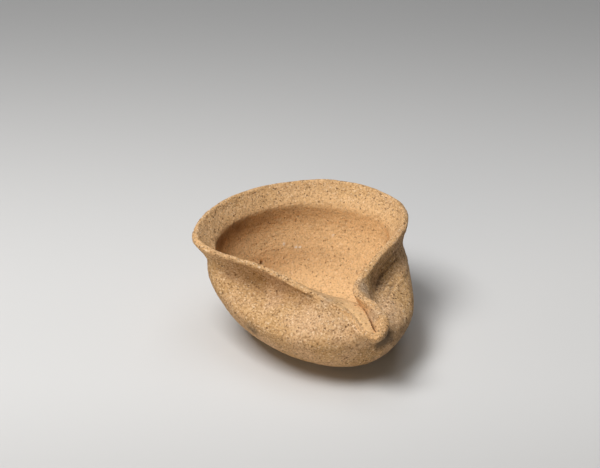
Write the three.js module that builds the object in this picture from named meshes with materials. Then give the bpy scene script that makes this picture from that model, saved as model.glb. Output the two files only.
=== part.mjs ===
import * as THREE from 'three';
import { ParametricGeometry } from 'three/addons/geometries/ParametricGeometry.js';
import { mergeVertices } from 'three/addons/utils/BufferGeometryUtils.js';

// Terracotta oil lamp: a wheel-thrown saucer with an everted rim, folded in by hand at the front
// so that two straight rim edges meet in a short, low nozzle with a narrow wick slit.
// Millimetres, +Z up. The bowl axis is Z, the foot stands on z = 0 and the nozzle points to -Y.

// Rim as thrown, behind the folds
const LIP_HEIGHT = 40.9;
const RIDGE_RADIUS = 35.0;
const RIDGE_HEIGHT = 34.4;
const VALLEY_RADIUS = 38.6;
const VALLEY_HEIGHT = 33.0;
const LIP_HALF_THICKNESS = 1.25;
const LIP_ROUND_START = 0.86;
const RIDGE_EDGE = 2.2;

// Body: egg-shaped rings, long toward the nozzle and turned a little to the right
const BODY_TURN = 12.0;
const HEEL = { height: 5.8, side: 25.4, front: 39.8, back: 28.0 };
const BELLY = { height: 18.5, side: 34.7, front: 46.2, back: 35.0 };
const SHOULDER_BULGE = 0.085;
const FOOT_CENTRE_Y = -3.0;
const FOOT_SCRAPE = 2.3;

// Wall of the body
const CENTRE_WALL = 7.3;
const HEEL_WALL = 5.4;
const BELLY_WALL = 4.6;
const SHOULDER_WALL = 4.0;
const HEEL_SLOPE = 45.0;
const BELLY_SLOPE = 14.0;

// Up to this bearing from the left of the nozzle the hollow runs straight up to the wick slit
const SLIT_END_BEARING = 20;

// Stations round the rim, counter-clockwise from the tip of the nozzle.
// bearing: degrees round the bowl axis from -Y toward +X, where that part of the wall was thrown.
// lip: crest of the rim; ridge: inner edge under the rim face; valley: outer hollow under the rim.
// half: half the thickness of the lip, where the folding pressed it thinner or thicker.
const RIGHT_FOLD = [
  {
    bearing: 7, half: 1.2,
    lip: [5.6, -51.6, 24.8], ridge: [6.9, -48.2, 24.2], valley: [6.8, -49.8, 21.2],
  },
  {
    bearing: 13, half: 1.6,
    lip: [10.7, -48.0, 27.6], ridge: [7.7, -45.4, 24.7], valley: [11.9, -46.8, 21.6],
  },
  {
    bearing: 20, half: 1.6,
    lip: [10.3, -38.8, 29.6], ridge: [8.0, -38.4, 25.5], valley: [13.4, -38.4, 22.6],
  },
  {
    bearing: 30, half: 1.3,
    lip: [7.0, -28.3, 31.0], ridge: [7.9, -30.0, 25.4], valley: [13.0, -28.8, 23.6],
  },
  {
    bearing: 50,
    lip: [18.6, -18.0, 35.6], ridge: [16.4, -14.6, 27.6], valley: [19.8, -18.2, 26.6],
  },
  {
    bearing: 78,
    lip: [35.8, -4.6, 40.2], ridge: [30.5, -2.4, 32.8], valley: [34.8, -5.4, 31.8],
  },
];
const THROWN_ARC = [
  { bearing: 106, lipRadius: 42.4 },
  { bearing: 142, lipRadius: 44.0 },
  { bearing: 180, lipRadius: 42.2 },
  { bearing: 218, lipRadius: 42.2 },
  { bearing: 252, lipRadius: 43.1 },
];
const LEFT_FOLD = [
  {
    bearing: 280,
    lip: [-39.4, 4.2, 40.4], ridge: [-32.2, 4.0, 33.2], valley: [-36.2, 3.0, 32.1],
  },
  {
    bearing: 315, half: 0.9,
    lip: [-21.2, -9.4, 35.4], ridge: [-17.8, -6.2, 27.8], valley: [-20.6, -8.6, 27.0],
  },
  {
    bearing: 340, half: 0.6,
    lip: [-4.6, -30.8, 29.2], ridge: [6.7, -31.2, 26.4], valley: [-5.8, -33.4, 27.7],
  },
  {
    bearing: 351, half: 0.5,
    lip: [0.5, -38.4, 27.3], ridge: [7.1, -39.5, 26.2], valley: [-0.7, -39.4, 26.2],
  },
  {
    bearing: 360, half: 0.6,
    lip: [1.8, -46.7, 25.4], ridge: [6.4, -46.6, 25.0], valley: [0.9, -47.4, 24.1],
  },
];

// Facets
const COLUMNS_PER_STATION = 6;
const BODY_ROWS = [4, 5, 5, 4];
const RIM_ROWS = 7;
const RIM_LEVEL = BODY_ROWS.length;
const LIP_LEVEL = RIM_LEVEL + 1;
const SEAM_TOLERANCE = 1e-4;

// Fired clay
const CLAY_COLOUR = 0xbf9868;
const CLAY_ROUGHNESS = 0.92;

// Horizontal direction of a bearing, outward from the bowl axis
function outward(bearing) {
  const angle = THREE.MathUtils.degToRad(bearing);
  return new THREE.Vector3(Math.sin(angle), -Math.cos(angle), 0);
}

// Point of an egg-shaped ring at a bearing; the inset moves the ring inside the wall
function eggPoint(ring, bearing, inset = 0, lift = 0) {
  const along = outward(bearing - BODY_TURN);
  const reach = along.y < 0 ? ring.front : ring.back;
  const point = new THREE.Vector3(along.x * (ring.side - inset), along.y * (reach - inset), 0);
  point.applyAxisAngle(new THREE.Vector3(0, 0, 1), THREE.MathUtils.degToRad(BODY_TURN));
  return point.setZ(ring.height + lift);
}

// The same point on the inner face of the wall, square to a slope given in degrees from upright
function innerEggPoint(ring, bearing, wall, slope) {
  const tilt = THREE.MathUtils.degToRad(slope);
  return eggPoint(ring, bearing, wall * Math.cos(tilt), wall * Math.sin(tilt));
}

// A thrown station gets its rim points from the rim circles
function rimPoints(station) {
  if (station.lip) {
    return {
      lip: new THREE.Vector3(...station.lip),
      ridge: new THREE.Vector3(...station.ridge),
      valley: new THREE.Vector3(...station.valley),
    };
  }
  const side = outward(station.bearing);
  return {
    lip: side.clone().multiplyScalar(station.lipRadius).setZ(LIP_HEIGHT),
    ridge: side.clone().multiplyScalar(RIDGE_RADIUS).setZ(RIDGE_HEIGHT),
    valley: side.clone().multiplyScalar(VALLEY_RADIUS).setZ(VALLEY_HEIGHT),
  };
}

// The shoulder swells outward from the straight line between belly and valley
function shoulderPoints(belly, valley, bearing) {
  const chord = valley.clone().sub(belly);
  const length = chord.length();
  chord.normalize();
  const normal = outward(bearing);
  normal.addScaledVector(chord, -normal.dot(chord)).normalize();
  const outer = belly.clone().lerp(valley, 0.5).addScaledVector(normal, length * SHOULDER_BULGE);
  return { outer, inner: outer.clone().addScaledVector(normal, -SHOULDER_WALL) };
}

// All points of the wall at one station
function wallPoints(station) {
  const rim = rimPoints(station);
  const belly = eggPoint(BELLY, station.bearing);
  const shoulder = shoulderPoints(belly, rim.valley, station.bearing);
  const innerBelly = innerEggPoint(BELLY, station.bearing, BELLY_WALL, BELLY_SLOPE);
  const underRidge = rim.ridge.clone().setZ(rim.ridge.z - RIDGE_EDGE);
  const pinched = station.bearing % 360 <= SLIT_END_BEARING;
  return {
    ...rim,
    belly,
    innerBelly,
    heel: eggPoint(HEEL, station.bearing),
    innerHeel: innerEggPoint(HEEL, station.bearing, HEEL_WALL, HEEL_SLOPE),
    shoulder: shoulder.outer,
    underRidge,
    innerShoulder: pinched ? innerBelly.clone().lerp(underRidge, 0.5) : shoulder.inner,
  };
}

// Smooth closed rings through the stations
const stations = [...RIGHT_FOLD, ...THROWN_ARC, ...LEFT_FOLD];
const walls = stations.map(wallPoints);
const rings = {};
for (const name of Object.keys(walls[0])) {
  rings[name] = new THREE.CatmullRomCurve3(walls.map((wall) => wall[name]), true, 'centripetal');
}
const COLUMNS = walls.length * COLUMNS_PER_STATION;

// Levels of the rows from the middle of the underside (0) to the crest of the lip
const LEVELS = [];
BODY_ROWS.forEach((rows, span) => {
  for (let row = 0; row < rows; row += 1) {
    LEVELS.push(span + row / rows);
  }
});
for (let row = 0; row <= RIM_ROWS; row += 1) {
  LEVELS.push(RIM_LEVEL + Math.sin((row / RIM_ROWS) * (Math.PI / 2)));
}
const ROWS = LEVELS.length - 1;

// Point on a curve up one face of the wall: part 0 at the centre, part 1 at the last point.
// The mirrored first point keeps the middle of the bowl level.
function wallPoint(part, centre, heel, upperPoints) {
  const mirrored = centre.clone().multiplyScalar(2).sub(heel).setZ(heel.z);
  const points = [mirrored, centre, heel, ...upperPoints];
  const curve = new THREE.CatmullRomCurve3(points, false, 'centripetal');
  const spans = points.length - 1;
  return curve.getPoint((1 + part * (spans - 1)) / spans);
}

// Direction across the wall at the lip, pointing to the outside
function acrossLip(around, lip, ridge, valley) {
  const up = lip.clone().sub(ridge.clone().lerp(valley, 0.5)).normalize();
  return rings.lip.getTangent(around).cross(up).normalize();
}

// Half the thickness of the lip, in even steps from each station to the next
function lipHalf(around) {
  const place = around * stations.length;
  const before = Math.floor(place) % stations.length;
  const after = (before + 1) % stations.length;
  const halfAt = (index) => stations[index].half ?? LIP_HALF_THICKNESS;
  return THREE.MathUtils.lerp(halfAt(before), halfAt(after), place - Math.floor(place));
}

// Point of the closed skin: around the bowl, then up the outer face and down the inner face
function skin(around, along, target) {
  const place = (1 - Math.abs(2 * along - 1)) * ROWS;
  const row = Math.min(Math.floor(place), ROWS - 1);
  const level = THREE.MathUtils.lerp(LEVELS[row], LEVELS[row + 1], place - row);
  const at = (name) => rings[name].getPoint(around % 1);
  const lip = at('lip');
  const ridge = at('ridge');
  const valley = at('valley');
  const across = acrossLip(around % 1, lip, ridge, valley);
  const lipReach = lipHalf(around % 1);
  const outerLip = lip.clone().addScaledVector(across, lipReach);
  const innerLip = lip.clone().addScaledVector(across, -lipReach);
  const underside = new THREE.Vector3(0, FOOT_CENTRE_Y, -FOOT_SCRAPE);
  const bowlFloor = new THREE.Vector3(0, FOOT_CENTRE_Y, CENTRE_WALL - FOOT_SCRAPE);
  const outerUpper = [at('belly'), at('shoulder'), valley, outerLip];
  const innerUpper = [at('innerBelly'), at('innerShoulder'), at('underRidge'), ridge];
  const outer = wallPoint(level / LIP_LEVEL, underside, at('heel'), outerUpper);
  const inner = wallPoint(Math.min(level / RIM_LEVEL, 1), bowlFloor, at('innerHeel'), innerUpper);
  const upRim = Math.max(level - RIM_LEVEL, 0);
  inner.lerp(innerLip, upRim);
  const roundPart = Math.max(upRim - LIP_ROUND_START, 0) / (1 - LIP_ROUND_START);
  const fullness = Math.sqrt(Math.max(1 - roundPart * roundPart, 0));
  const half = outer.clone().sub(inner).multiplyScalar(0.5 * fullness);
  target.addVectors(outer, inner).multiplyScalar(0.5);
  if (along < 0.5) {
    target.add(half).setZ(Math.max(target.z, 0));
  } else {
    target.sub(half);
  }
}

// One closed shell, welded along its seam and at the two middles
function lampGeometry() {
  const grid = new ParametricGeometry(skin, COLUMNS, 2 * ROWS);
  grid.deleteAttribute('normal');
  grid.deleteAttribute('uv');
  const shell = mergeVertices(grid, SEAM_TOLERANCE);
  shell.computeVertexNormals();
  return shell;
}

const clay = new THREE.MeshStandardMaterial({
  color: CLAY_COLOUR,
  roughness: CLAY_ROUGHNESS,
  metalness: 0.0,
});
const body = new THREE.Mesh(lampGeometry(), clay);
body.name = 'lamp_body';

const lamp = new THREE.Group();
lamp.name = 'oil_lamp';
lamp.add(body);

export default lamp;
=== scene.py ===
# %% [markdown]
# # A folded oil lamp in unglazed clay
# The lamp was thrown on a wheel as a small saucer with a wide, turned-out rim. While the clay was
# still soft, two stretches of the rim were pressed inwards at the front, until they nearly met and
# left a short nozzle with a slit for the wick. This script loads the plain solid of the lamp and
# puts a much finer skin in its place, with the marks of the wheel, the grit and the wear.
# Lengths on the lamp are written in millimetres and scaled to metres once, at the end of the shaping.

# %% Load the solid lamp and keep its box
import math

import bmesh
import bpy
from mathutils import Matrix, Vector, noise


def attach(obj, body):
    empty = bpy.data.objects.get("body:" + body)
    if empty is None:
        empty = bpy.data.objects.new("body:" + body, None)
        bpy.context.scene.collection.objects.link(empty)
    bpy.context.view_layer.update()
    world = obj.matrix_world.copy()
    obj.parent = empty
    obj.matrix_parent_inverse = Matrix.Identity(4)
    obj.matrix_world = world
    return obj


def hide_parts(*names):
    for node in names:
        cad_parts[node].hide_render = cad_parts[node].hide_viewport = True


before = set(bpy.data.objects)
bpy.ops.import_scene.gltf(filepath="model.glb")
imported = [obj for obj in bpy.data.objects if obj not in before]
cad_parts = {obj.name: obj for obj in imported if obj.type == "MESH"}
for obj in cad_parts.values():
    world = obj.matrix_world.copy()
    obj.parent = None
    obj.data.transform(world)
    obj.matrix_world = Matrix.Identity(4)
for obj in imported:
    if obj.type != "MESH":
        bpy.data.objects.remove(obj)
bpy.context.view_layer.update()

MM = 0.001

# %% [markdown]
# ## The camera
# The camera comes first, so that every later step can be looked at from the angle of the picture.
# The lamp was seen from about thirty degrees above the table with a long lens. One could shift the
# lens to place the lamp in the frame; here the camera is turned a little instead, so that a view
# from any other side stays centred as well.

# %% Place the camera
PICTURE_WIDTH = 600
PICTURE_HEIGHT = 468
LOOK_AZIMUTH = math.radians(-20.6)
LOOK_HEIGHT = math.radians(30.0)
LOOK_DISTANCE = 0.8
LAMP_MIDDLE = Vector((0.0, 0.0, 21.6)) * MM
LAMP_MIDDLE_PIXEL = (310.18, 278.60)
PIXEL_SIZE = 0.374 * MM

away = Vector((math.sin(LOOK_AZIMUTH), -math.cos(LOOK_AZIMUTH), 0.0))
sight_back = away * math.cos(LOOK_HEIGHT) + Vector((0.0, 0.0, math.sin(LOOK_HEIGHT)))
sight_right = Vector((math.cos(LOOK_AZIMUTH), math.sin(LOOK_AZIMUTH), 0.0))
sight_up = sight_back.cross(sight_right)
aim = LAMP_MIDDLE - sight_right * (LAMP_MIDDLE_PIXEL[0] - PICTURE_WIDTH / 2) * PIXEL_SIZE
aim += sight_up * (LAMP_MIDDLE_PIXEL[1] - PICTURE_HEIGHT / 2) * PIXEL_SIZE

camera_data = bpy.data.cameras.new("picture_camera")
camera_data.sensor_width = 36.0
camera_data.lens = LOOK_DISTANCE / PIXEL_SIZE * camera_data.sensor_width / PICTURE_WIDTH
camera = bpy.data.objects.new("picture_camera", camera_data)
camera.location = LAMP_MIDDLE + sight_back * LOOK_DISTANCE
camera.rotation_euler = (aim - camera.location).to_track_quat("-Z", "Y").to_euler()
bpy.context.scene.collection.objects.link(camera)
bpy.context.scene.camera = camera
print("lens, mm:", round(camera_data.lens, 1))

# %% [markdown]
# ## The potter's sizes
# A thrown pot is a set of rings: heel, belly, shoulder, the hollow under the rim, the lip and the
# ridge inside it. Folding moves parts of those rings. Sixteen stations round the lamp say where the
# lip, the ridge and the hollow went; the five at the back still lie on the circles of the wheel.
# They repeat the sizes of the solid, so the fine skin lies on it.

# %% Sizes as thrown, and the folded stations
LIP_HEIGHT = 40.9
RIDGE_RADIUS = 35.0
RIDGE_HEIGHT = 34.4
HOLLOW_RADIUS = 38.6
HOLLOW_HEIGHT = 33.0
LIP_HALF_THICKNESS = 1.25
LIP_ROUND_START = 0.86
LIP_SQUARE = 2.6
RIDGE_EDGE = 2.2
BODY_TURN = 12.0
HEEL = {"height": 5.8, "side": 25.4, "front": 39.8, "back": 28.0, "wall": 5.4, "slope": 45.0}
BELLY = {"height": 18.5, "side": 34.7, "front": 46.2, "back": 35.0, "wall": 4.6, "slope": 14.0}
SHOULDER_BULGE = 0.085
SHOULDER_WALL = 4.0
SLIT_END_BEARING = 20
UNDERSIDE = Vector((0.0, -3.0, -2.3))
BOWL_FLOOR = Vector((0.0, -3.0, 5.0))

# bearing in degrees from the nozzle, then lip, ridge and hollow, and half the thickness of the lip
RIGHT_FOLD = [
    (7, (5.6, -51.6, 24.8), (6.9, -48.2, 24.2), (6.8, -49.8, 21.2), 1.2),
    (13, (10.7, -48.0, 27.6), (7.7, -45.4, 24.7), (11.9, -46.8, 21.6), 1.6),
    (20, (10.3, -38.8, 29.6), (8.0, -38.4, 25.5), (13.4, -38.4, 22.6), 1.6),
    (30, (7.0, -28.3, 31.0), (7.9, -30.0, 25.4), (13.0, -28.8, 23.6), 1.3),
    (50, (18.6, -18.0, 35.6), (16.4, -14.6, 27.6), (19.8, -18.2, 26.6), 1.25),
    (78, (35.8, -4.6, 40.2), (30.5, -2.4, 32.8), (34.8, -5.4, 31.8), 1.25),
]
THROWN_ARC = [(106, 42.4), (142, 44.0), (180, 42.2), (218, 42.2), (252, 43.1)]
LEFT_FOLD = [
    (280, (-39.4, 4.2, 40.4), (-32.2, 4.0, 33.2), (-36.2, 3.0, 32.1), 1.25),
    (315, (-21.2, -9.4, 35.4), (-17.8, -6.2, 27.8), (-20.6, -8.6, 27.0), 0.9),
    (340, (-4.6, -30.8, 29.2), (6.7, -31.2, 26.4), (-5.8, -33.4, 27.7), 0.6),
    (351, (0.5, -38.4, 27.3), (7.1, -39.5, 26.2), (-0.7, -39.4, 26.2), 0.5),
    (360, (1.8, -46.7, 25.4), (6.4, -46.6, 25.0), (0.9, -47.4, 24.1), 0.6),
]


def outward(bearing):
    angle = math.radians(bearing)
    return Vector((math.sin(angle), -math.cos(angle), 0.0))


def on_circle(bearing, radius, height):
    return outward(bearing) * radius + Vector((0.0, 0.0, height))


def thrown_station(bearing, lip_radius):
    lip = on_circle(bearing, lip_radius, LIP_HEIGHT)
    ridge = on_circle(bearing, RIDGE_RADIUS, RIDGE_HEIGHT)
    hollow = on_circle(bearing, HOLLOW_RADIUS, HOLLOW_HEIGHT)
    return bearing, lip, ridge, hollow, LIP_HALF_THICKNESS


stations = RIGHT_FOLD + [thrown_station(*row) for row in THROWN_ARC] + LEFT_FOLD
print("stations round the lamp:", len(stations))

# %% [markdown]
# ## Rings through the stations
# The body below the rim is egg-shaped: long toward the nozzle and turned a little to one side. Each
# station gets its points on the egg rings, on the outer and on the inner face of the wall. A smooth
# bend through neighbouring points (a centripetal Catmull-Rom curve, which never overshoots into
# loops) then joins the stations into rings, and later joins the rings into a wall.

# %% Points of the wall at each station
def egg_point(ring, bearing, inset=0.0, lift=0.0):
    along = outward(bearing - BODY_TURN)
    reach = ring["front"] if along.y < 0 else ring["back"]
    across = along.x * (ring["side"] - inset)
    ahead = along.y * (reach - inset)
    turn = math.radians(BODY_TURN)
    x = across * math.cos(turn) - ahead * math.sin(turn)
    y = across * math.sin(turn) + ahead * math.cos(turn)
    return Vector((x, y, ring["height"] + lift))


def inner_egg_point(ring, bearing):
    slope = math.radians(ring["slope"])
    return egg_point(ring, bearing, ring["wall"] * math.cos(slope), ring["wall"] * math.sin(slope))


def wall_points(bearing, lip, ridge, hollow):
    lip = Vector(lip)
    ridge = Vector(ridge)
    hollow = Vector(hollow)
    belly = egg_point(BELLY, bearing)
    inner_belly = inner_egg_point(BELLY, bearing)
    chord = hollow - belly
    swell = outward(bearing) - chord * (outward(bearing).dot(chord) / chord.length_squared)
    swell.normalize()
    shoulder = (belly + hollow) / 2 + swell * chord.length * SHOULDER_BULGE
    under_ridge = ridge - Vector((0.0, 0.0, RIDGE_EDGE))
    inner_shoulder = shoulder - swell * SHOULDER_WALL
    if bearing % 360 <= SLIT_END_BEARING:
        inner_shoulder = (inner_belly + under_ridge) / 2
    return {
        "heel": egg_point(HEEL, bearing), "belly": belly, "shoulder": shoulder,
        "hollow": hollow, "lip": lip, "ridge": ridge, "under_ridge": under_ridge,
        "inner_shoulder": inner_shoulder, "inner_belly": inner_belly,
        "inner_heel": inner_egg_point(HEEL, bearing),
    }


def bend(before, start, end, after):
    """The four factors of a smooth bend from start to end that heads for both neighbours."""
    step_in = math.sqrt((start - before).length)
    step = math.sqrt((end - start).length)
    step_out = math.sqrt((after - end).length)
    leave = (start - before) / step_in - (end - before) / (step_in + step) + (end - start) / step
    reach = (end - start) / step - (after - start) / (step + step_out) + (after - end) / step_out
    leave *= step
    reach *= step
    square = (end - start) * 3 - leave * 2 - reach
    cube = (start - end) * 2 + leave + reach
    return start, leave, square, cube


def on_bend(factors, part):
    start, leave, square, cube = factors
    return start + (leave + (square + cube * part) * part) * part


walls = [wall_points(*station[:4]) for station in stations]
print("wall points at a station:", len(walls[0]))

# %% [markdown]
# ## Columns round the lamp
# The skin needs more columns where the rim is long, and still enough of them at the small nozzle.
# So each stretch between two stations gets a share that grows with its length. Every column keeps
# the points of its own wall, and the bends that lead from one to the next.

# %% Spread the columns and find each one's wall
COLUMNS = 432
NOZZLE_SHARE = 4.0
COUNT = len(walls)

ring_bends = []
stretch = [0.0]
for index in range(COUNT):
    near = [walls[(index + shift) % COUNT] for shift in (-1, 0, 1, 2)]
    ring_bends.append({name: bend(*[wall[name] for wall in near]) for name in walls[0]})
    lip_length = (near[2]["lip"] - near[1]["lip"]).length
    belly_length = (near[2]["belly"] - near[1]["belly"]).length
    stretch.append(stretch[-1] + (lip_length + belly_length) / 2 + NOZZLE_SHARE)


def column_place(column):
    target = column / COLUMNS * stretch[-1]
    index = max(i for i in range(COUNT) if stretch[i] <= target)
    return index + (target - stretch[index]) / (stretch[index + 1] - stretch[index])


places = [column_place(column) for column in range(COLUMNS)]
columns = []
for place in places:
    index = int(place)
    columns.append({name: on_bend(f, place - index) for name, f in ring_bends[index].items()})
for column, wall in enumerate(columns):
    index = int(places[column])
    thin = stations[index][4]
    thin += (stations[(index + 1) % COUNT][4] - thin) * (places[column] - index)
    ahead = columns[(column + 1) % COLUMNS]["lip"] - columns[column - 1]["lip"]
    up = (wall["lip"] - (wall["ridge"] + wall["hollow"]) / 2).normalized()
    across = ahead.cross(up).normalized()
    wall["outer_lip"] = wall["lip"] + across * thin
    wall["inner_lip"] = wall["lip"] - across * thin
print("longest step between lip points, mm:",
      round(max((columns[c]["lip"] - columns[c - 1]["lip"]).length for c in range(COLUMNS)), 2))

# %% [markdown]
# ## Throwing the saucer
# On the wheel the wall is one profile, turned. In Blender the same thing is the spin operator: a few
# vertices from the middle of the underside, up the outside, over the lip and down the inside, each
# edge cut into rows, then spun once round. A float layer keeps each vertex's row number, so that the
# later steps know where on the wall it sits.

# %% Spin the profile
OUTER_NAMES = ["heel", "belly", "shoulder", "hollow", "outer_lip"]
INNER_NAMES = ["ridge", "under_ridge", "inner_shoulder", "inner_belly", "inner_heel"]
ROWS_PER_SPAN = [30, 24, 16, 14, 24, 24, 6, 12, 16, 20, 32]
LIP_ROW = 5
RIDGE_ROW = 6
FLOOR_ROW = 11
BACK_STATION = 8

lamp = bmesh.new()
row_layer = lamp.verts.layers.float.new("wall_row")
place_layer = lamp.verts.layers.float.new("round_place")
back = min(columns, key=lambda wall: (wall["lip"] - walls[BACK_STATION]["lip"]).length)
profile = [UNDERSIDE] + [back[name] for name in OUTER_NAMES + INNER_NAMES] + [BOWL_FLOOR]
corners = []
for row, point in enumerate(profile):
    reach = math.hypot(point.x, point.y) if 0 < row < FLOOR_ROW else 0.0
    corner = lamp.verts.new((0.0, -reach, point.z))
    corner[row_layer] = row
    corners.append(corner)
edges = [lamp.edges.new(pair) for pair in zip(corners, corners[1:])]
for edge, rows in zip(edges, ROWS_PER_SPAN):
    bmesh.ops.subdivide_edges(lamp, edges=[edge], cuts=rows - 1)
bmesh.ops.spin(lamp, geom=lamp.verts[:] + lamp.edges[:], cent=(0, 0, 0), axis=(0, 0, 1),
               angle=math.tau, steps=COLUMNS, use_merge=True)
bmesh.ops.remove_doubles(lamp, verts=lamp.verts[:], dist=1e-5)
bmesh.ops.recalc_face_normals(lamp, faces=lamp.faces[:])
print("thrown saucer:", len(lamp.verts), "vertices,", len(lamp.faces), "faces, open edges:",
      sum(len(edge.link_faces) != 2 for edge in lamp.edges))

# %% [markdown]
# ## Folding the rim
# Pressing the rim inwards moves every column of the wall to its folded place. The face of the rim
# between ridge and lip stays straight, which keeps the ridge crisp, and the lip is rounded by
# drawing both faces together toward its crest. The foot is cut flat at the table. At the back and on
# the right a wet finger ran over the ridge, so there the smooth operator rounds it.

# %% Move every vertex to the folded wall
def wall_bends(first, middle, points):
    mirrored = middle * 2 - first
    mirrored.z = first.z
    chain = [mirrored, middle, first] + points
    chain.append(chain[-1] * 2 - chain[-2])
    return [bend(*chain[i:i + 4]) for i in range(len(chain) - 3)]


for wall in columns:
    outer = [wall[name] for name in OUTER_NAMES[1:]]
    inner = [wall[name] for name in reversed(INNER_NAMES[:-1])]
    wall["outer_bends"] = wall_bends(wall["heel"], UNDERSIDE, outer)
    wall["inner_bends"] = wall_bends(wall["inner_heel"], BOWL_FLOOR, inner)


def up_rim(row):
    """How far up the rim a row lies: 0 at hollow and ridge, 1 at the crest; rows crowd at the lip."""
    part = 1.0 - abs(row - LIP_ROW)
    return math.sin(max(part, 0.0) * math.pi / 2)


def folded_point(wall, row):
    rise = up_rim(row)
    if rise > 0.0:
        outer = on_bend(wall["outer_bends"][4], rise)
        inner = wall["ridge"].lerp(wall["inner_lip"], rise)
        rounding = max(rise - LIP_ROUND_START, 0.0) / (1.0 - LIP_ROUND_START)
        half = (outer - inner) / 2 * max(1.0 - rounding ** LIP_SQUARE, 0.0) ** (1.0 / LIP_SQUARE)
        middle = (outer + inner) / 2
        return middle + half if row < LIP_ROW else middle - half
    if row < LIP_ROW:
        span = min(int(row), 3)
        point = on_bend(wall["outer_bends"][span], row - span)
        point.z = max(point.z, 0.0)
        return point
    down = FLOOR_ROW - row
    span = min(int(down), 4)
    return on_bend(wall["inner_bends"][span], down - span)


for vertex in lamp.verts:
    turn = math.atan2(vertex.co.x, -vertex.co.y) / math.tau
    column = round(turn * COLUMNS) % COLUMNS
    vertex[place_layer] = places[column]
    vertex.co = folded_point(columns[column], vertex[row_layer])

SOFT_RIDGE_ROWS = (5.55, 6.75)
SOFT_RIDGE_PLACES = (4.2, 9.8)
SOFT_RIDGE_STROKES = 40
SOFT_RIDGE_FACTOR = 0.5
soft_ridge = []
for vertex in lamp.verts:
    on_rows = SOFT_RIDGE_ROWS[0] < vertex[row_layer] < SOFT_RIDGE_ROWS[1]
    if on_rows and SOFT_RIDGE_PLACES[0] < vertex[place_layer] < SOFT_RIDGE_PLACES[1]:
        soft_ridge.append(vertex)
axes = {"use_axis_x": True, "use_axis_y": True, "use_axis_z": True}
for stroke in range(SOFT_RIDGE_STROKES):
    bmesh.ops.smooth_vert(lamp, verts=soft_ridge, factor=SOFT_RIDGE_FACTOR, **axes)
lamp.normal_update()
print("softened ridge vertices:", len(soft_ridge))
print("folded lamp, cubic centimetres of clay:", round(lamp.calc_volume(signed=True) / 1000, 1))

# %% [markdown]
# ## Wheel marks and hand pressure
# No thrown wall is perfectly even. Broad, shallow swellings come from the fingers; fine rings come
# from the turning and from the tool that pared the outside. On the folded right side the soft clay
# was dragged, which left long scratches beside the rim, and some clay filled the hollow behind the
# pinch. On the left a finger pressed a throat under the lip, and a crease runs on beside the nozzle.
# Each is a small push along the normal.

# %% Uneven wall, turning rings and drag scratches
SWELL = 0.26
SWELL_LENGTH = 13.0
WOBBLE_LENGTH = 9.0
RING_DEPTH = 0.045
RINGS_PER_ROW = 5.0
RINGLESS_ROWS = (3.2, 3.6, 6.8, 7.4)
THROAT_DEPTH = 0.9
THROAT_ROWS = (3.72, 3.98, 4.45, 4.68)
THROAT_PLACES = (10.6, 11.4, 12.5, 13.0)
CREASE_DEPTH = 0.6
CREASE_ROWS = (5.38, 5.48, 5.54, 5.66)
CREASE_PLACES = (13.2, 13.7, 15.0, 15.5)
FILL_HEIGHT = 1.9
FILL_ROWS = (3.2, 3.9, 4.3, 4.8)
FILL_PLACES = (2.2, 2.9, 3.3, 3.9)
DRAG_DEPTH = 0.32
DRAG_PLACES = (3.1, 3.8, 5.2, 6.0)
DRAG_ROWS = (2.6, 3.2, 4.5, 4.85)


def ease(value, start, end):
    part = min(max((value - start) / (end - start), 0.0), 1.0)
    return part * part * (3.0 - 2.0 * part)


def within(value, limits):
    """1 between the two middle limits, fading to 0 at the outer ones."""
    return ease(value, limits[0], limits[1]) * (1.0 - ease(value, limits[2], limits[3]))


def drag_line(place, row):
    """From -1 in a scratch to 1 on the clay pushed up beside it, on the right fold only."""
    drag = within(place, DRAG_PLACES) * within(row, DRAG_ROWS)
    if drag == 0.0:
        return 0.0
    broad = noise.noise(Vector((place * 1.1, row * 9.0, 3.7)))
    fine = noise.noise(Vector((place * 1.8, row * 21.0, 8.1)))
    return drag * (broad + 0.8 * fine)


def wheel_push(vertex):
    row = vertex[row_layer]
    place = vertex[place_layer]
    push = SWELL * noise.noise(vertex.co / SWELL_LENGTH)
    wobble = noise.noise(vertex.co / WOBBLE_LENGTH)
    ring = math.sin(math.tau * row * RINGS_PER_ROW + 3.0 * wobble) * (0.5 + wobble)
    push += RING_DEPTH * ring * (1.0 - within(row, RINGLESS_ROWS))
    push -= THROAT_DEPTH * within(row, THROAT_ROWS) * within(place, THROAT_PLACES)
    push -= CREASE_DEPTH * within(row, CREASE_ROWS) * within(place, CREASE_PLACES)
    push += FILL_HEIGHT * within(row, FILL_ROWS) * within(place, FILL_PLACES)
    return push + DRAG_DEPTH * drag_line(place, row)


def push_skin(how_far):
    pushes = [how_far(vertex) for vertex in lamp.verts]
    for vertex, push in zip(lamp.verts, pushes):
        floor = vertex.co.z
        vertex.co += vertex.normal * push
        if vertex[row_layer] < 1.0 and floor < 0.02:
            vertex.co.z = 0.0
        vertex.co.z = max(vertex.co.z, 0.0)
    lamp.normal_update()
    return max(pushes), min(pushes)


print("wheel marks, mm:", [round(push, 2) for push in push_skin(wheel_push)])

# %% [markdown]
# ## Grit and pits
# The clay is coarse: sand grains stand proud of it, and where a grain or a bit of straw fell or
# burned out it left a pit. Pits on the outside are drawn out along the turning direction. A Voronoi
# pattern scatters them; a random value per cell decides which cells have one. A float layer keeps
# how deep each pit is, so that the finish can darken it.

# %% Press grit and pits into the skin
GRIT = 0.09
FINE_GRIT = 1.1
COARSE_GRIT = 2.3
PIT_DEPTH = 0.28
PIT_SPACING = 2.6
DRAWN_ROUND = 3.6
DRAWN_UP = 7.0
pit_layer = lamp.verts.layers.float.new("pit")

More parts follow.
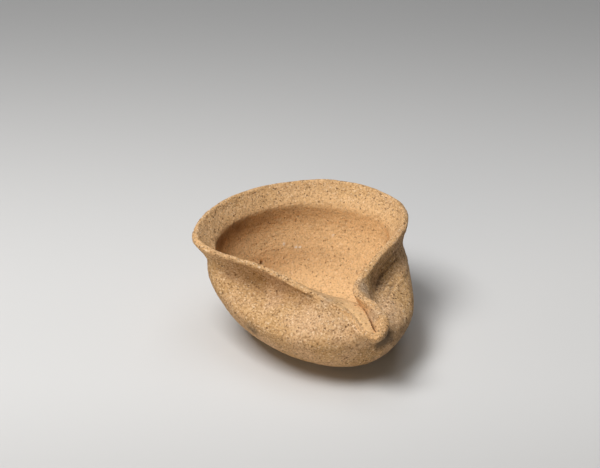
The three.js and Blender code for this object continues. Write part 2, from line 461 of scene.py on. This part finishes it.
# single pits that stand out: place in mm, radius, depth
SINGLE_PITS = [
    ((-31.2, 25.8, 40.7), 0.9, 0.5), ((-29.7, 21.2, 36.3), 1.0, 0.6), ((-9.7, 26.9, 16.0), 1.0, 0.7),
    ((-9.3, -24.7, 29.6), 1.2, 0.6), ((-13.2, -24.7, 24.9), 1.0, 0.6), ((-15.8, -21.2, 24.8), 0.9, 0.5),
    ((20.4, -19.0, 25.9), 1.0, 0.6), ((21.9, -17.9, 26.2), 0.8, 0.4), ((19.2, -20.4, 25.6), 0.9, 0.5),
]


def scattered_pit(spot, share, size, salt):
    """Depth from 0 to 1 of a pit in the Voronoi cell around a spot."""
    distances, centres = noise.voronoi(spot)
    chance = noise.cell(centres[0] * 37.0 + Vector((salt, salt, salt)))
    if chance < 1.0 - 2.0 * share:
        return 0.0
    reach = size * (0.7 + 0.3 * noise.cell(centres[0] * 53.0))
    part = distances[0] / reach
    return (1.0 - part * part) ** 2 if part < 1.0 else 0.0


def single_pit(point):
    depth = 0.0
    for centre, radius, deep in SINGLE_PITS:
        part = (point - Vector(centre)).length / radius
        if part < 1.0:
            depth = max(depth, deep * (1.0 - part * part))
    return depth


def grit_push(vertex):
    point = vertex.co
    row = vertex[row_layer]
    outside = 1.0 - ease(row, LIP_ROW - 0.3, LIP_ROW + 0.3)
    crest = 1.0 - ease(abs(row - LIP_ROW), 0.1, 0.5)
    grain = noise.noise(point / FINE_GRIT) + 0.6 * noise.noise(point / COARSE_GRIT)
    push = GRIT * (0.6 + 0.7 * outside) * (1.0 - 0.6 * crest) * grain
    drawn = Vector((vertex[place_layer] * DRAWN_ROUND, row * DRAWN_UP, 0.3))
    deep = scattered_pit(point / PIT_SPACING, 0.08 + 0.14 * outside, 0.24, 1.0)
    deep = max(deep, outside * scattered_pit(drawn, 0.20, 0.30, 5.0))
    push -= PIT_DEPTH * deep
    single = single_pit(point)
    vertex[pit_layer] = min(deep + single / 0.6, 1.0)
    return push - single


print("grit and pits, mm:", [round(push, 2) for push in push_skin(grit_push)])

# %% [markdown]
# ## The worn lip and nozzle
# The lip is the first part to be knocked, and the nozzle the most, since the flame and the wick were
# there. Their edges are nicked and crumbled. A wear value from 0 to 1 grows toward the crest of the
# lip and is strongest at the tip; the finish uses it to show fresher clay.

# %% Nick the lip and crumble the nozzle tip
LIP_WAVE = 0.12
NICK_DEPTH = 0.22
TIP = Vector((6.6, -50.6, 25.6))
TIP_REACH = 9.0
CRUMBLE = 0.45
wear_layer = lamp.verts.layers.float.new("wear")


def wear_push(vertex):
    point = vertex.co
    row = vertex[row_layer]
    crest = 1.0 - ease(abs(row - LIP_ROW), 0.12, 0.62)
    tip = (1.0 - ease((point - TIP).length, 2.0, TIP_REACH)) * within(row, (3.6, 4.3, 5.2, 5.7))
    vertex[wear_layer] = max(crest * (0.65 + 0.6 * noise.noise(point / 6.0)), tip)
    push = crest * LIP_WAVE * noise.noise(point / 4.5)
    push -= crest * NICK_DEPTH * ease(noise.noise(point / 2.6), 0.22, 0.55)
    push += tip * CRUMBLE * (noise.noise(point / 1.7) + 0.5 * noise.noise(point / 0.9) - 0.15)
    return push


print("wear, mm:", [round(push, 2) for push in push_skin(wear_push)])

# %% [markdown]
# ## Stains and painted shade
# Burial and use left a few stains: a dark smudge low on the left, pale grey patches where the folds
# were rubbed and a few white lime specks inside. Painted shade joins them: a dark spot in the shelter
# under the nozzle, a broad one low on the right and a dark line in the drag scratches, all kept with
# the smudge. A painted shadow lies in a band under the ridge, most on the left, kept with a painted
# shade in the throat under the left lip. They are soft spots and bands at known places, each kept as
# a float layer for the finish. One more layer says how far inside a vertex is, because the inner face
# was smoothed and has less grit; on the flat left edge of the nozzle the smooth clay begins beside the
# crease.

# %% Mark the smudge and painted shade, grey patches, lime specks and the painted shadow band
# the spot under the nozzle and the broad one low on the right are painted shade; the one on the left is
# a real smudge
SMUDGE_AND_SHADE_SPOTS = [
    ((-29.0, -17.8, 15.5), 4.5, 0.6), ((11.8, -45.4, 17.8), 8.0, 0.9), ((20.0, -39.0, 14.0), 13.0, 0.35),
]
GREY_SPOTS = [
    ((-5.2, -30.2, 28.8), 3.5, 0.4), ((9.9, -27.1, 29.9), 4.5, 0.6), ((9.6, -42.0, 27.0), 4.5, 0.5),
]
LIME_SPOTS = [
    ((0.8, 30.8, 20.2), 0.8, 0.6), ((5.2, 29.4, 18.7), 0.9, 0.9),
    ((6.7, 29.1, 18.6), 0.7, 0.8), ((19.2, 26.1, 23.0), 0.8, 0.4),
]
# painted shade darkens the drag scratches
SCRATCH_SHADE = 0.38
INSIDE_FADE = 0.4
RIBBON_PLACES = (12.6, 13.2)
RIBBON_START = 0.3
RIBBON_PULL = 0.75
# painted shadow in a band under the ridge, and painted shade in the throat under the left lip
UNDER_RIDGE_SHADE_ROWS = (5.85, 6.25, 7.0, 8.7)
UNDER_RIDGE_SHADE_PLACES = (5.0, 11.0, 12.2, 13.4)
THROAT_SHADE = 0.36
THROAT_SHADE_ROWS = (3.2, 3.8, 4.5, 4.7)
smudge_and_shade_layer = lamp.verts.layers.float.new("smudge_and_shade")
grey_layer = lamp.verts.layers.float.new("grey")
lime_layer = lamp.verts.layers.float.new("lime")
painted_shade_layer = lamp.verts.layers.float.new("painted_shade")
inside_layer = lamp.verts.layers.float.new("inside")


def stain_and_shade_spot(point, spots):
    ragged = 1.0 + 0.6 * noise.noise(point / 2.4)
    amount = 0.0
    for centre, reach, strength in spots:
        part = (point - Vector(centre)).length / (reach * ragged)
        amount = max(amount, strength * (1.0 - ease(part, 0.2, 1.0)))
    return amount


for vertex in lamp.verts:
    scratch = -drag_line(vertex[place_layer], vertex[row_layer])
    # the smudge, plus painted shade under the nozzle, low on the right and in the scratches
    vertex[smudge_and_shade_layer] = stain_and_shade_spot(vertex.co, SMUDGE_AND_SHADE_SPOTS) + SCRATCH_SHADE * ease(scratch, 0.05, 0.7)
    vertex[grey_layer] = stain_and_shade_spot(vertex.co, GREY_SPOTS)
    vertex[lime_layer] = stain_and_shade_spot(vertex.co, LIME_SPOTS)
    # painted shadow band under the ridge, joined by painted shade in the throat
    painted_shade = within(vertex[row_layer], UNDER_RIDGE_SHADE_ROWS) * within(vertex[place_layer], UNDER_RIDGE_SHADE_PLACES)
    throat = within(vertex[row_layer], THROAT_SHADE_ROWS) * within(vertex[place_layer], THROAT_PLACES)
    painted_shade = max(painted_shade, THROAT_SHADE * throat)
    vertex[painted_shade_layer] = painted_shade * (0.85 + 0.4 * noise.noise(vertex.co / 5.0))
    ribbon = ease(vertex[place_layer], *RIBBON_PLACES)
    start = LIP_ROW + RIBBON_START * ribbon
    reach = RIDGE_ROW + INSIDE_FADE - RIBBON_PULL * ribbon
    vertex[inside_layer] = ease(vertex[row_layer], start, reach)
print("stained vertices:", sum(vertex[smudge_and_shade_layer] > 0.1 for vertex in lamp.verts))

# %% [markdown]
# ## The finished skin
# The bmesh becomes one mesh object at the origin, scaled to metres, shaded smooth. It moves with the
# lamp's only body and stands in for the plain solid.

# %% Make the skin an object
for face in lamp.faces:
    face.smooth = True
bmesh.ops.scale(lamp, vec=(MM, MM, MM), verts=lamp.verts[:])
skin_mesh = bpy.data.meshes.new("folded_lamp")
lamp.to_mesh(skin_mesh)
lamp.free()
skin = bpy.data.objects.new("folded_lamp", skin_mesh)
bpy.context.scene.collection.objects.link(skin)
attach(skin, "root")
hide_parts("lamp_body")
print("skin:", len(skin_mesh.vertices), "vertices,", len(skin_mesh.polygons), "faces")

# %% [markdown]
# ## Specks in the clay
# Fired coarse clay is full of specks: dark ironstone, red-brown grog and pale quartz or shell. All
# three are the same effect at other sizes, so they share one node group. A Voronoi texture gives
# cells; a cell holds a speck if its random colour is below the wanted share.

# %% Build the speck group
def add_node(tree, kind, **settings):
    node = tree.nodes.new(kind)
    for name, value in settings.items():
        setattr(node, name, value)
    return node


MIX_FACTOR = 0
MIX_UNDER = 6
MIX_OVER = 7
MIX_RESULT = 2


def colour_mix(tree, mask, under, over):
    node = add_node(tree, "ShaderNodeMix", data_type="RGBA")
    tree.links.new(mask, node.inputs[MIX_FACTOR])
    for index, value in ((MIX_UNDER, under), (MIX_OVER, over)):
        if isinstance(value, tuple):
            node.inputs[index].default_value = value
        else:
            tree.links.new(value, node.inputs[index])
    return node.outputs[MIX_RESULT]


specks = bpy.data.node_groups.new("clay_specks", "ShaderNodeTree")
specks.interface.new_socket("Place", in_out="INPUT", socket_type="NodeSocketVector")
for name in ("Scale", "Share", "Size"):
    specks.interface.new_socket(name, in_out="INPUT", socket_type="NodeSocketFloat")
specks.interface.new_socket("Mask", in_out="OUTPUT", socket_type="NodeSocketFloat")
speck_in = add_node(specks, "NodeGroupInput")
speck_out = add_node(specks, "NodeGroupOutput")
cells = add_node(specks, "ShaderNodeTexVoronoi")
cell_chance = add_node(specks, "ShaderNodeSeparateColor")
chosen = add_node(specks, "ShaderNodeMath", operation="LESS_THAN")
own_size = add_node(specks, "ShaderNodeMath", operation="MULTIPLY")
edge = add_node(specks, "ShaderNodeMath", operation="DIVIDE")
fade = add_node(specks, "ShaderNodeMapRange", interpolation_type="SMOOTHSTEP")
masked = add_node(specks, "ShaderNodeMath", operation="MULTIPLY")
fade.inputs["From Min"].default_value = 1.0
fade.inputs["From Max"].default_value = 0.45
specks.links.new(speck_in.outputs["Place"], cells.inputs["Vector"])
specks.links.new(speck_in.outputs["Scale"], cells.inputs["Scale"])
specks.links.new(cells.outputs["Color"], cell_chance.inputs["Color"])
specks.links.new(cell_chance.outputs["Red"], chosen.inputs[0])
specks.links.new(speck_in.outputs["Share"], chosen.inputs[1])
specks.links.new(cell_chance.outputs["Green"], own_size.inputs[0])
specks.links.new(speck_in.outputs["Size"], own_size.inputs[1])
specks.links.new(cells.outputs["Distance"], edge.inputs[0])
specks.links.new(own_size.outputs["Value"], edge.inputs[1])
specks.links.new(edge.outputs["Value"], fade.inputs["Value"])
specks.links.new(fade.outputs["Result"], masked.inputs[0])
specks.links.new(chosen.outputs["Value"], masked.inputs[1])
specks.links.new(masked.outputs["Value"], speck_out.inputs["Mask"])
print("speck group nodes:", len(specks.nodes))

# %% [markdown]
# ## The clay finish
# The finish is one material on Object coordinates, so it needs no unwrapping and keeps its scale in
# millimetres on every side. First come its colours, and small helpers that add a noise, a range, a
# kept layer or a speck mask to the material's node tree.

# %% Name the clay colours and start the material
GOLDEN_TAN = (0.56, 0.338, 0.150, 1.0)
PINK_BUFF = (0.64, 0.405, 0.222, 1.0)
INNER_TAN = (0.74, 0.462, 0.222, 1.0)
DARK_GRIT = (0.14, 0.070, 0.030, 1.0)
BROWN_SAND = (0.22, 0.115, 0.043, 1.0)
RED_GRIT = (0.34, 0.155, 0.055, 1.0)
PALE_GRIT = (0.90, 0.680, 0.450, 1.0)
# colour of the painted shade in the pits
PIT_SHADE = (0.11, 0.060, 0.030, 1.0)
FRESH_CLAY = (0.64, 0.385, 0.180, 1.0)
# colour of the smudge and of the painted shade under the nozzle, low on the right and in the scratches
SMUDGE_AND_SHADE = (0.10, 0.070, 0.045, 1.0)
GREY_RUB = (0.42, 0.320, 0.235, 1.0)
# colour of the painted shadow under the ridge and the painted shade in the throat
PAINTED_SHADE_BROWN = (0.15, 0.068, 0.022, 1.0)
LIME = (0.85, 0.80, 0.70, 1.0)

clay = bpy.data.materials.new("buff_terracotta")
clay.use_nodes = True
tree = clay.node_tree
tree.nodes.clear()
surface = add_node(tree, "ShaderNodeOutputMaterial")
shader = add_node(tree, "ShaderNodeBsdfPrincipled")
tree.links.new(shader.outputs["BSDF"], surface.inputs["Surface"])
shader.inputs["Specular IOR Level"].default_value = 0.25
where = add_node(tree, "ShaderNodeTexCoord")


def noise_at(scale, detail, roughness=0.55, seed=0.0):
    texture = add_node(tree, "ShaderNodeTexNoise", noise_dimensions="4D")
    texture.inputs["W"].default_value = seed
    texture.inputs["Scale"].default_value = scale
    texture.inputs["Detail"].default_value = detail
    texture.inputs["Roughness"].default_value = roughness
    tree.links.new(where.outputs["Object"], texture.inputs["Vector"])
    return texture.outputs["Fac"]


def ranged(value, low, high, top=1.0):
    node = add_node(tree, "ShaderNodeMapRange", interpolation_type="SMOOTHSTEP")
    node.inputs["From Min"].default_value = low
    node.inputs["From Max"].default_value = high
    node.inputs["To Max"].default_value = top
    tree.links.new(value, node.inputs["Value"])
    return node.outputs["Result"]


def mixed(mask, under, over):
    return colour_mix(tree, mask, under, over)


def kept(name):
    node = add_node(tree, "ShaderNodeAttribute", attribute_name=name)
    return node.outputs["Fac"]


print("material:", clay.name)

# %% [markdown]
# ## Sand and specks
# Round specks look like paint splashes. Shifting the coordinates a little by a fine noise makes their
# edges ragged, like broken grains. Between them lies sand too small to see as grains, which two
# stretched noises stand for, one dark and one pale.

# %% Make the speck and sand masks
RAGGED = 0.45 * MM
RAGGED_SCALE = 2600.0

ragged_noise = add_node(tree, "ShaderNodeTexNoise")
ragged_noise.inputs["Scale"].default_value = RAGGED_SCALE
ragged_noise.inputs["Detail"].default_value = 1.0
tree.links.new(where.outputs["Object"], ragged_noise.inputs["Vector"])
ragged_shift = add_node(tree, "ShaderNodeVectorMath", operation="MULTIPLY_ADD")
ragged_shift.inputs[1].default_value = (RAGGED, RAGGED, RAGGED)
tree.links.new(ragged_noise.outputs["Color"], ragged_shift.inputs[0])
tree.links.new(where.outputs["Object"], ragged_shift.inputs[2])


def speck_mask(scale, share, size):
    node = add_node(tree, "ShaderNodeGroup", node_tree=specks)
    tree.links.new(ragged_shift.outputs["Vector"], node.inputs["Place"])
    node.inputs["Scale"].default_value = scale
    node.inputs["Share"].default_value = share
    node.inputs["Size"].default_value = size
    return node.outputs["Mask"]


def combined(operation, first, second):
    node = add_node(tree, "ShaderNodeMath", operation=operation)
    tree.links.new(first, node.inputs[0])
    tree.links.new(second, node.inputs[1])
    return node.outputs["Value"]


def product(first, second):
    return combined("MULTIPLY", first, second)


INSIDE_GRIT = 0.5

outside = add_node(tree, "ShaderNodeMapRange")
outside.inputs["To Min"].default_value = 1.0
outside.inputs["To Max"].default_value = INSIDE_GRIT
tree.links.new(kept("inside"), outside.inputs["Value"])
coarse = outside.outputs["Result"]
dark_specks = speck_mask(1150.0, 0.23, 0.62)
big_specks = speck_mask(560.0, 0.07, 0.36)
red_specks = speck_mask(1000.0, 0.18, 0.60)
pale_specks = speck_mask(1300.0, 0.12, 0.60)
dark_sand = ranged(noise_at(1350.0, 4.0, 0.75, 1.3), 0.46, 0.64, 0.9)
pale_sand = ranged(noise_at(1200.0, 3.0, 0.7, 4.1), 0.52, 0.68, 0.7)
cloud = ranged(noise_at(420.0, 4.0, 0.7, 7.7), 0.48, 0.70, 0.45)
print("clay nodes with masks:", len(tree.nodes))

# %% [markdown]
# ## Layers of colour
# The body colour wanders between a golden tan and a pinkish buff. Over it lie the sand, the specks,
# painted shade in the pits, fresher clay on the worn edges, grey patches, painted shadow under the
# ridge, lime, and the smudge with painted shade under the nozzle, low on the right and in scratches.
# Each layer is a mix with its own mask, and the last one added covers the others.

# %% Colour the clay
colour = mixed(ranged(noise_at(75.0, 3.0), 0.38, 0.64), GOLDEN_TAN, PINK_BUFF)
colour = mixed(kept("inside"), colour, INNER_TAN)
colour = mixed(kept("wear"), colour, FRESH_CLAY)
colour = mixed(kept("grey"), colour, GREY_RUB)
colour = mixed(product(cloud, coarse), colour, BROWN_SAND)
colour = mixed(product(dark_sand, coarse), colour, BROWN_SAND)
colour = mixed(product(pale_sand, coarse), colour, PALE_GRIT)
colour = mixed(product(ranged(red_specks, 0.0, 1.0, 0.55), coarse), colour, RED_GRIT)
colour = mixed(product(ranged(pale_specks, 0.0, 1.0, 0.55), coarse), colour, PALE_GRIT)
colour = mixed(product(ranged(dark_specks, 0.0, 1.0, 0.8), coarse), colour, DARK_GRIT)
colour = mixed(ranged(big_specks, 0.0, 1.0, 0.65), colour, DARK_GRIT)
# painted shade in the pits, deeper pits darker
colour = mixed(ranged(kept("pit"), 0.3, 1.0, 0.65), colour, PIT_SHADE)
# painted shadow under the ridge and painted shade in the throat
colour = mixed(ranged(kept("painted_shade"), 0.0, 1.0, 0.85), colour, PAINTED_SHADE_BROWN)
colour = mixed(kept("lime"), colour, LIME)
# the smudge, with painted shade under the nozzle, low on the right and in the scratches
colour = mixed(kept("smudge_and_shade"), colour, SMUDGE_AND_SHADE)
tree.links.new(colour, shader.inputs["Base Color"])
print("clay colour nodes:", len(tree.nodes))

# %% [markdown]
# ## A matt, grainy surface
# Unglazed clay scatters light evenly, so the shader is rough all over. The grain is finer than the
# mesh, so a bump makes it: grains stand proud and dark specks sit in small holes.

# %% Roughen the clay
ROUGH_LOW = 0.80
ROUGH_HIGH = 0.96
GRAIN_DISTANCE = 0.50 * MM
GRAIN_STRENGTH = 0.7

roughness = ranged(noise_at(300.0, 4.0), 0.3, 0.7)
rough_range = add_node(tree, "ShaderNodeMapRange")
rough_range.inputs["To Min"].default_value = ROUGH_LOW
rough_range.inputs["To Max"].default_value = ROUGH_HIGH
tree.links.new(roughness, rough_range.inputs["Value"])
tree.links.new(rough_range.outputs["Result"], shader.inputs["Roughness"])

grain = combined("SUBTRACT", noise_at(1100.0, 3.0, 0.65), dark_specks)
grain = combined("ADD", grain, pale_specks)
grain = combined("ADD", grain, noise_at(480.0, 2.0, 0.5, 2.2))
bump = add_node(tree, "ShaderNodeBump")
bump.inputs["Strength"].default_value = GRAIN_STRENGTH
bump.inputs["Distance"].default_value = GRAIN_DISTANCE
tree.links.new(grain, bump.inputs["Height"])
tree.links.new(bump.outputs["Normal"], shader.inputs["Normal"])
skin_mesh.materials.append(clay)
print("clay nodes:", len(tree.nodes))

# %% [markdown]
# ## The table
# The floor is a plain pale sheet. It gets darker toward the back and a little toward the front, as a
# paper sweep does under a light that is aimed at its middle. One could light it unevenly; a graded
# colour along the line of sight is steadier.

# %% Lay the floor
PALE_GREY = (0.62, 0.617, 0.612, 1.0)
FAR_GREY = (0.33, 0.33, 0.33, 1.0)
NEAR_GREY = (0.52, 0.517, 0.512, 1.0)
GREY_START = 0.02
GREY_END = 0.36
NEAR_START = -0.03
NEAR_END = -0.13
FLOOR_HALF = 3.0

floor_shape = bmesh.new()
bmesh.ops.create_grid(floor_shape, x_segments=1, y_segments=1, size=FLOOR_HALF)
floor_mesh = bpy.data.meshes.new("table")
floor_shape.to_mesh(floor_mesh)
floor_shape.free()
table = bpy.data.objects.new("table", floor_mesh)
bpy.context.scene.collection.objects.link(table)
paper = bpy.data.materials.new("pale_paper")
paper.use_nodes = True
paper_shader = paper.node_tree.nodes["Principled BSDF"]
paper_where = add_node(paper.node_tree, "ShaderNodeTexCoord")
paper_turn = add_node(paper.node_tree, "ShaderNodeMapping")
paper_turn.inputs["Rotation"].default_value = (0.0, 0.0, -LOOK_AZIMUTH)
paper_depth = add_node(paper.node_tree, "ShaderNodeSeparateXYZ")
paper.node_tree.links.new(paper_where.outputs["Object"], paper_turn.inputs["Vector"])
paper.node_tree.links.new(paper_turn.outputs["Vector"], paper_depth.inputs["Vector"])
paper_colour = PALE_GREY
for start, end, grey in ((GREY_START, GREY_END, FAR_GREY), (NEAR_START, NEAR_END, NEAR_GREY)):
    grade = add_node(paper.node_tree, "ShaderNodeMapRange", interpolation_type="SMOOTHSTEP")
    grade.inputs["From Min"].default_value = start
    grade.inputs["From Max"].default_value = end
    paper.node_tree.links.new(paper_depth.outputs["Y"], grade.inputs["Value"])
    paper_colour = colour_mix(paper.node_tree, grade.outputs["Result"], paper_colour, grey)
paper.node_tree.links.new(paper_colour, paper_shader.inputs["Base Color"])
paper_shader.inputs["Roughness"].default_value = 0.9
floor_mesh.materials.append(paper)
print("table, m:", 2 * FLOOR_HALF)

# %% [markdown]
# ## The lights
# One soft light stands high at the front left: it brightens the rim and the front, leaves the right
# fold in shade and throws a soft shadow to the right. A broad weak light overhead fills the shadow on
# the table, and a warm low fill keeps the front of the belly readable.

# %% Hang the lights
WHITE = (1.0, 1.0, 1.0)
WARM = (1.0, 0.84, 0.62)
SKY_STRENGTH = 0.04


def soft_light(name, right, ahead, up, size, power, colour=WHITE):
    data = bpy.data.lights.new(name, "AREA")
    data.size = size
    data.energy = power
    data.color = colour
    light = bpy.data.objects.new(name, data)
    light.location = LAMP_MIDDLE + sight_right * right - away * ahead + Vector((0.0, 0.0, up))
    light.rotation_euler = (LAMP_MIDDLE - light.location).to_track_quat("-Z", "Y").to_euler()
    bpy.context.scene.collection.objects.link(light)
    return light


soft_light("window", -0.345, -0.19, 0.82, 0.44, 8.0)
soft_light("overhead", 0.0, 0.25, 1.1, 1.0, 4.4)
soft_light("front_fill", -0.40, -0.85, 0.10, 0.6, 3.4, WARM)
sky = bpy.data.worlds.new("studio")
sky.use_nodes = True
sky.node_tree.nodes["Background"].inputs["Color"].default_value = (1.0, 1.0, 1.0, 1.0)
sky.node_tree.nodes["Background"].inputs["Strength"].default_value = SKY_STRENGTH
bpy.context.scene.world = sky
bpy.context.scene.view_settings.view_transform = "Standard"
print("lights:", [light.name for light in bpy.data.lights])
